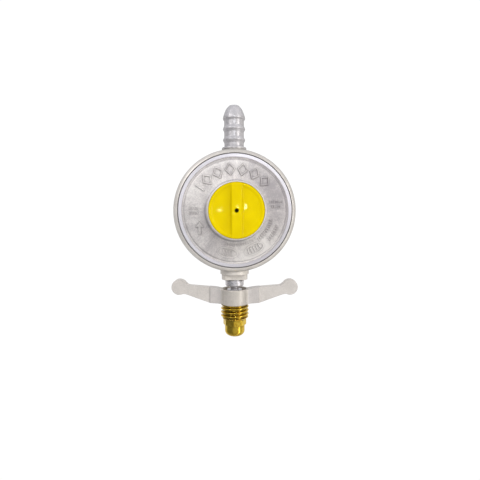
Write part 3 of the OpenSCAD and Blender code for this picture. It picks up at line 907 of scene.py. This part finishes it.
def cover_relief():
    """The bolder marks: a bar, lozenges, an arrow and two groups of bars."""
    relief = Relief()
    relief.spokes(count=1, first=147.0, step=0.0, inner=19.6, outer=25.4, width=0.9, height=0.5)
    for i in range(6):
        relief.lozenge(radius=22.45, degrees=132.0 - i * 17.4)
    # at the lower left, pointing up
    x, z = polar(21.4, 206)
    for shape in ARROW:
        relief.pad([(x + px, z + pz) for px, pz in shape], corner_radius=0.18, height=0.5,
                   draft=0.14)
    # at the bottom: middle of the group in degrees, number of bars
    step = 4.1
    for middle, count in ((-101, 4), (-64, 5)):
        relief.spokes(count, first=middle - (count - 1) / 2 * step, step=step, inner=21.3,
                      outer=24.5, width=0.75, height=0.45)
    build("cover_relief", relief.verts, relief.faces, "cast_zinc_marks", "regulator",
          slot="cast_zinc_face")


def cover_ticks():
    """The finer marks: rows of short ticks."""
    relief = Relief()
    # two rows like a scale, lower right
    relief.spokes(count=11, first=-15, step=-3.6, inner=18.9, outer=21.0, width=0.6, height=0.42)
    relief.spokes(count=7, first=-21, step=-3.2, inner=22.9, outer=25.0, width=0.6, height=0.42)
    # two rows on the left
    for z in (1.5, -1.1):
        for i in range(4):
            relief.box(-22.3 + (i - 1.5) * 1.35, z, half_width=0.28, half_height=0.75,
                       corner_radius=0.12, height=0.34)
    # two rows on the right, the lower one shorter by a tick at each end
    for k, z in enumerate((4.8, 2.2)):
        for i in range(7 - 2 * k):
            relief.box(21.9 + (i - 3 + k) * 1.05, z, half_width=0.24, half_height=0.7,
                       corner_radius=0.1, height=0.28)
    # a row above the two groups of bars
    relief.spokes(count=13, first=-107, step=3.9, inner=17.75, outer=19.2, width=0.5, height=0.34)
    build("cover_ticks", relief.verts, relief.faces, "cast_zinc_ticks", "regulator",
          slot="cast_zinc_face")


cover_relief()
cover_ticks()

# the CAD pieces that are still shown
for obj in NODES.values():
    if not obj.hide_render:
        shade_smooth(obj, degrees=28.0)


# ---------------------------------------------------------------- stage
def floor_material():
    material = bpy.data.materials.new("floor")
    material.use_nodes = True
    graph = Graph(material.node_tree)
    nodes = graph.tree.nodes
    matt = nodes["Principled BSDF"]
    matt.inputs["Roughness"].default_value = 0.9
    matt.inputs["Specular IOR Level"].default_value = 0.0
    matt.inputs["Base Color"].default_value = (0.6, 0.6, 0.6, 1)
    # the camera sees the floor as an evenly lit light table
    noise = graph.node("TexNoise", {"Scale": 900.0}).outputs["Fac"]
    white = graph.ramp(noise, [(0.0, (0.985, 0.985, 0.985)), (1.0, (1, 1, 1))])
    glow = graph.node("Emission", {"Color": white, "Strength": 1.04})
    path = graph.node("LightPath")
    seen = graph.node("MixShader", {0: path.outputs["Is Camera Ray"], 1: matt.outputs[0],
                                    2: glow.outputs[0]})
    # and polished metal mirrors the studio and not the table
    clear = graph.node("BsdfTransparent")
    mirrored = graph.node("MixShader", {0: path.outputs["Is Glossy Ray"], 1: seen.outputs[0],
                                        2: clear.outputs[0]})
    graph.feed(nodes["Material Output"].inputs[0], mirrored.outputs[0])
    return material


def stage():
    bm = bmesh.new()
    bmesh.ops.create_circle(bm, cap_ends=True, segments=96, radius=6.0)
    mesh = bpy.data.meshes.new("floor")
    bm.to_mesh(mesh)
    bm.free()
    obj = bpy.data.objects.new("floor", mesh)
    obj.location = (0, AXIS_Y * MM, -0.0722)
    bpy.context.scene.collection.objects.link(obj)
    mesh.materials.append(floor_material())


stage()


# The studio's walls: (azimuth in degrees, brightness, warmth). 0 is the front, 90 the right.
WALLS = (
    (-180, 0.85, 0), (-122, 0.85, 0),                                       # white behind
    (-104, 0.34, -1), (-85, 0.2, -1), (-36, 0.2, -1),                       # dark front left
    (-20, 0.42, 0), (6, 0.52, 0), (30, 0.56, 1), (38, 0.9, 1), (45, 0.95, 1),
    (47, 3.4, 0), (52, 3.4, 0),                                             # tall light
    (54, 1.0, 1), (62, 0.9, 1), (70, 0.5, 1), (86, 0.55, 1),
    (102, 0.85, 1), (180, 0.85, 0),                                         # white behind
)


def world():
    """A studio for the reflections; the camera itself sees plain white."""
    studio = bpy.data.worlds.new("studio")
    bpy.context.scene.world = studio
    studio.use_nodes = True
    graph = Graph(studio.node_tree)
    graph.tree.nodes.clear()
    output = graph.node("OutputWorld")
    path = graph.node("LightPath")
    white = graph.node("Background", {"Color": (1, 1, 1), "Strength": 1.05})
    x, y, z = graph.separate(graph.node("TexCoord").outputs["Generated"])
    azimuth = graph.math("ARCTAN2", x, graph.mul(y, -1.0))
    around = graph.add(graph.math("DIVIDE", azimuth, math.tau), 0.5)
    sky = graph.ramp(around, [((degrees + 180) / 360, (v * (1 + 0.02 * warm), v,
                                                       v * (1 - 0.05 * warm)))
                              for degrees, v, warm in WALLS])
    # the cool ceiling and the dim ground keep part of the walls' tone
    sky = graph.tint(sky, graph.rise(z, low=0.3, high=0.75), strength=0.55,
                     towards=(1.0, 1.04, 1.12))
    sky = graph.tint(sky, graph.rise(graph.mul(z, -1.0), low=0.45, high=0.85), strength=0.6,
                     towards=(0.36, 0.35, 0.34))
    room = graph.node("Background", {"Color": sky, "Strength": 1.0})
    mixed = graph.node("MixShader", {0: path.outputs["Is Camera Ray"], 1: room.outputs[0],
                                     2: white.outputs[0]})
    graph.feed(output.inputs[0], mixed.outputs[0])


world()


def area(name, place, target, width, power, colour=(1.0, 1.0, 1.0), height=None):
    """An area light; square unless it has a height."""
    light = bpy.data.lights.new(name, "AREA")
    light.energy = power
    light.color = colour
    light.shape = "RECTANGLE" if height else "SQUARE"
    light.size = width
    if height:
        light.size_y = height
    obj = bpy.data.objects.new(name, light)
    obj.location = place
    obj.rotation_euler = (Vector(target) - Vector(place)).to_track_quat("-Z", "Y").to_euler()
    bpy.context.scene.collection.objects.link(obj)


area("soft_right", place=(0.34, -0.33, 0.10), target=(0, -0.01, -0.01), width=0.16, height=0.34,
     power=0.47, colour=(1.0, 0.98, 0.94))
area("soft_top_left", place=(-0.30, -0.31, 0.28), target=(0, -0.01, 0.01), width=0.24,
     power=0.85, colour=(1.0, 0.99, 0.98))
area("over_camera", place=(0.0, -0.29, 0.13), target=(0, -0.01, 0.03), width=0.05, height=0.03,
     power=0.10, colour=(0.92, 0.96, 1.0))
# three small sources beside the lens, which the glossy cap mirrors as specks:
# name, x, z, width, height, power
for name, x, z, width, height, power in (
        ("speck_a", 0.0032, -0.0008, 0.0030, 0.0040, 0.0030),
        ("speck_b", 0.026, 0.002, 0.0018, 0.0026, 0.0009),
        ("speck_c", 0.012, 0.008, 0.0014, 0.0046, 0.0009)):
    area(name, place=(x, -0.226, z), target=(0, -0.034, 0.003), width=width, height=height,
         power=power)


# ---------------------------------------------------------------- camera
CAMERA_PLACE = (-0.01074, -0.22637, -0.0028)
YAW, PITCH_ANGLE, ROLL = 0.06428, -0.06295, -0.00305  # radians; level and facing +Y at zero


def camera():
    forward = Vector((math.sin(YAW) * math.cos(PITCH_ANGLE),
                      math.cos(YAW) * math.cos(PITCH_ANGLE), math.sin(PITCH_ANGLE)))
    level = Vector((math.cos(YAW), -math.sin(YAW), 0.0))
    upright = level.cross(forward)
    right = level * math.cos(ROLL) + upright * math.sin(ROLL)
    up = -level * math.sin(ROLL) + upright * math.cos(ROLL)
    data = bpy.data.cameras.new("camera")
    data.sensor_width = 36.0
    data.lens = 28.5
    data.clip_start = 0.01
    obj = bpy.data.objects.new("camera", data)
    matrix = Matrix((right, up, -forward)).transposed().to_4x4()
    matrix.translation = Vector(CAMERA_PLACE)
    obj.matrix_world = matrix
    bpy.context.scene.collection.objects.link(obj)
    bpy.context.scene.camera = obj


camera()
bpy.context.scene.view_settings.view_transform = "Standard"
bpy.context.scene.view_settings.look = "None"
